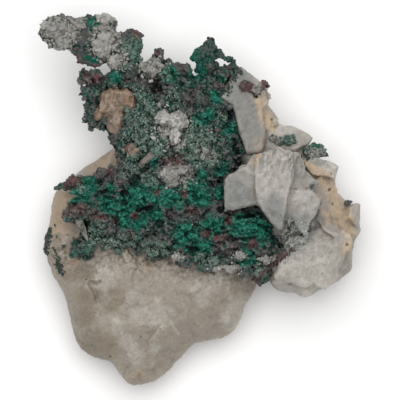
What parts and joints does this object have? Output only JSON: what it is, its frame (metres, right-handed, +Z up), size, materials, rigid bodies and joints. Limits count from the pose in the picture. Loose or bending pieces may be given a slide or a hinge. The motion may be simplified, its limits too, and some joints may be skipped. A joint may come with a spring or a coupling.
{
  "type": "malachite on copper specimen",
  "caption": "Mineral hand specimen: a knobbly crust of green malachite on native copper, grown between rounded and bladed white quartz lumps, with a short crusted arm.",
  "frame": {"origin": "under the middle of the specimen's plan, on the surface it lies on", "axes": "+Z up out of the surface, +Y towards the arm and the spire, +X towards the bladed quartz"},
  "size_m": [0.0644, 0.0742, 0.0256],
  "materials": {
    "malachite_crust": "rough, drusy, green with red-brown copper showing on the crests",
    "copper": "tarnished red-brown native copper",
    "quartz": "milky, grey-beige, broken faces",
    "white_quartz": "milky white, broken faces",
    "tan_quartz": "iron-stained, tan"
  },
  "bodies": {
    "root": {"quartz_lower": "quartz", "quartz_right": "white_quartz", "quartz_blades": "white_quartz", "copper_mass": "malachite_crust", "copper_spire": "malachite_crust", "copper_arm": "malachite_crust", "tan_quartz": "tan_quartz", "quartz_upper_pocket": "white_quartz", "quartz_middle_pocket": "white_quartz", "quartz_top_knob": "white_quartz", "quartz_front_pocket_left": "white_quartz", "quartz_front_pocket_middle": "white_quartz", "quartz_front_pocket_right": "white_quartz", "quartz_edge_pocket": "white_quartz", "arm_quartz_tip": "white_quartz", "arm_quartz_lower": "white_quartz", "arm_quartz_middle": "white_quartz", "arm_quartz_top": "white_quartz", "arm_quartz_root": "white_quartz", "quartz_splinter": "quartz", "quartz_left_shard": "quartz", "copper_upper_knob": "copper", "malachite_ledge_patch": "malachite_crust", "malachite_ledge_knob": "malachite_crust", "malachite_right_nub": "malachite_crust", "malachite_seam": "malachite_crust"}
  },
  "joints": []
}
